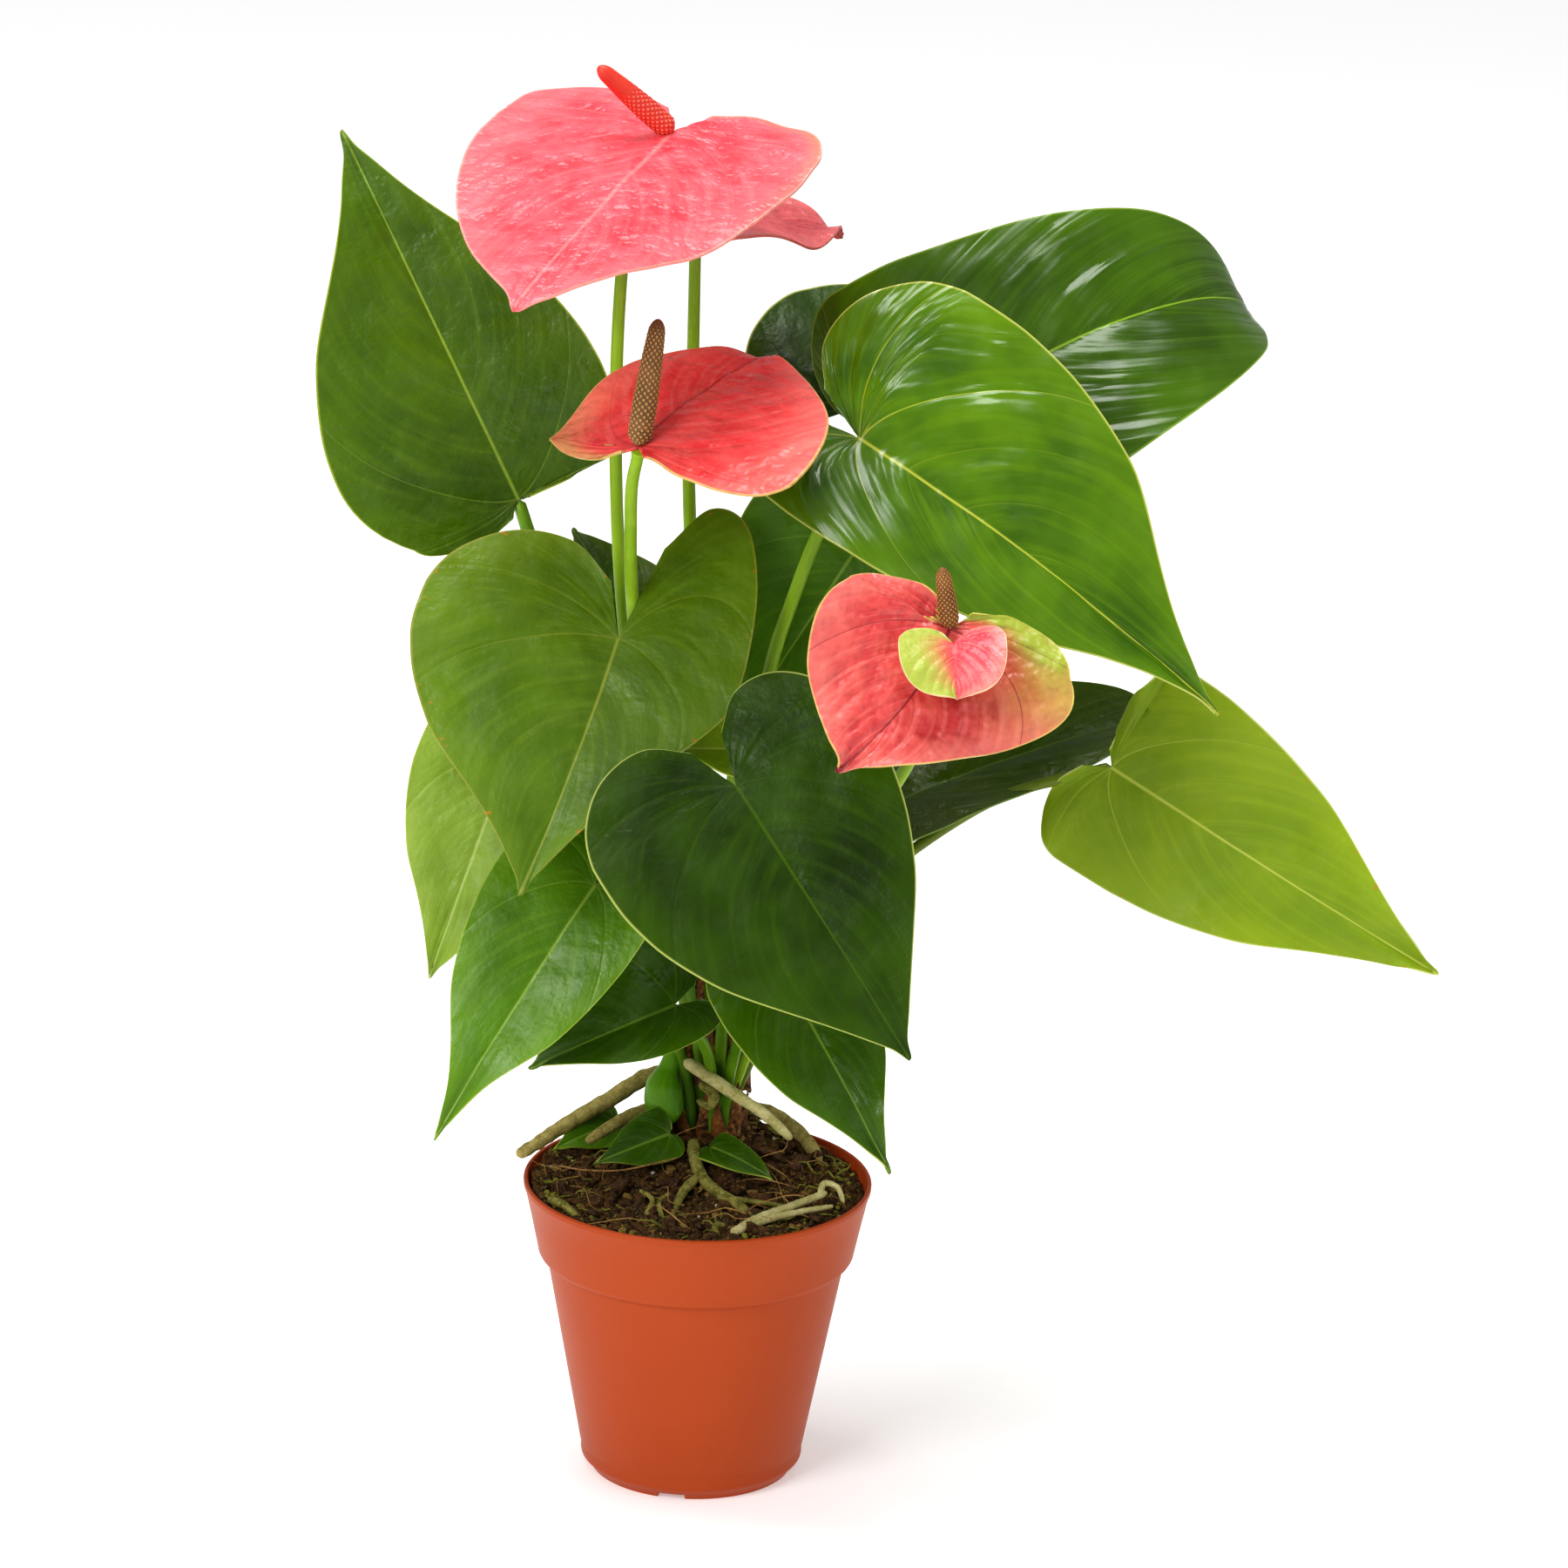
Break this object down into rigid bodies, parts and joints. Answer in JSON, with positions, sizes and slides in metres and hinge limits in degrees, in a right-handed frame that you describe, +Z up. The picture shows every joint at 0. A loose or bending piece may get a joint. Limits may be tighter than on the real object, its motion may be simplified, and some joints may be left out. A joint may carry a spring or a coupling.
{
  "type": "potted anthurium",
  "caption": "Flowering houseplant in a small round nursery pot, with heart-shaped leaves on thin stalks and waxy flower bracts, each with an upright spadix.",
  "frame": {"origin": "centre of the pot's underside, on the plane that it rests on", "axes": "+Z up along the pot's axis; the plant's front looks along -Y, and its leaves reach furthest to +X"},
  "size_m": [0.3367, 0.2048, 0.4325],
  "materials": {
    "pot_plastic": "satin",
    "potting_soil": "matte",
    "crown_bark": "matte",
    "leaf_green": "gloss",
    "leaf_lime": "satin",
    "petiole_green": "satin",
    "stalk_green": "satin",
    "spathe_pink": "gloss",
    "spadix_red": "satin",
    "spadix_brown": "matte",
    "aerial_root": "matte"
  },
  "bodies": {
    "root": {"pot": "pot_plastic", "soil": "potting_soil", "crown_stem": "crown_bark", "leaf_back_middle": "leaf_green", "leaf_basal_front": "leaf_green", "leaf_basal_left": "leaf_green", "leaf_basal_right": "leaf_green", "leaf_far_right": "leaf_lime", "leaf_front_left": "leaf_green", "leaf_front_middle": "leaf_green", "leaf_low_left": "leaf_green", "leaf_low_left_behind": "leaf_green", "leaf_low_middle": "leaf_green", "leaf_low_right": "leaf_green", "leaf_lower_left": "leaf_green", "leaf_middle_behind": "leaf_green", "leaf_right_behind": "leaf_green", "leaf_small_behind": "leaf_green", "leaf_top_right": "leaf_green", "leaf_upper_left": "leaf_green", "leaf_upper_right": "leaf_green", "leaf_young": "leaf_lime", "petiole_back_middle": "petiole_green", "petiole_basal_front": "petiole_green", "petiole_basal_left": "petiole_green", "petiole_basal_right": "petiole_green", "petiole_far_right": "petiole_green", "petiole_front_left": "petiole_green", "petiole_front_middle": "petiole_green", "petiole_low_left": "petiole_green", "petiole_low_left_behind": "petiole_green", "petiole_low_middle": "petiole_green", "petiole_low_right": "petiole_green", "petiole_lower_left": "petiole_green", "petiole_middle_behind": "petiole_green", "petiole_right_behind": "petiole_green", "petiole_small_behind": "petiole_green", "petiole_top_right": "petiole_green", "petiole_upper_left": "petiole_green", "petiole_upper_right": "petiole_green", "petiole_young": "petiole_green", "root_branch": "aerial_root", "root_forked": "aerial_root", "root_long": "aerial_root", "root_pale": "aerial_root", "root_pointed": "aerial_root", "root_stub": "aerial_root", "small_spathe": "spathe_pink", "spadix_back": "spadix_brown", "spadix_middle": "spadix_brown", "spadix_right": "spadix_brown", "spadix_top": "spadix_red", "spathe_back": "spathe_pink", "spathe_middle": "spathe_pink", "spathe_right": "spathe_pink", "spathe_top": "spathe_pink", "stalk_back": "stalk_green", "stalk_middle": "stalk_green", "stalk_right": "stalk_green", "stalk_top": "stalk_green"}
  },
  "joints": []
}
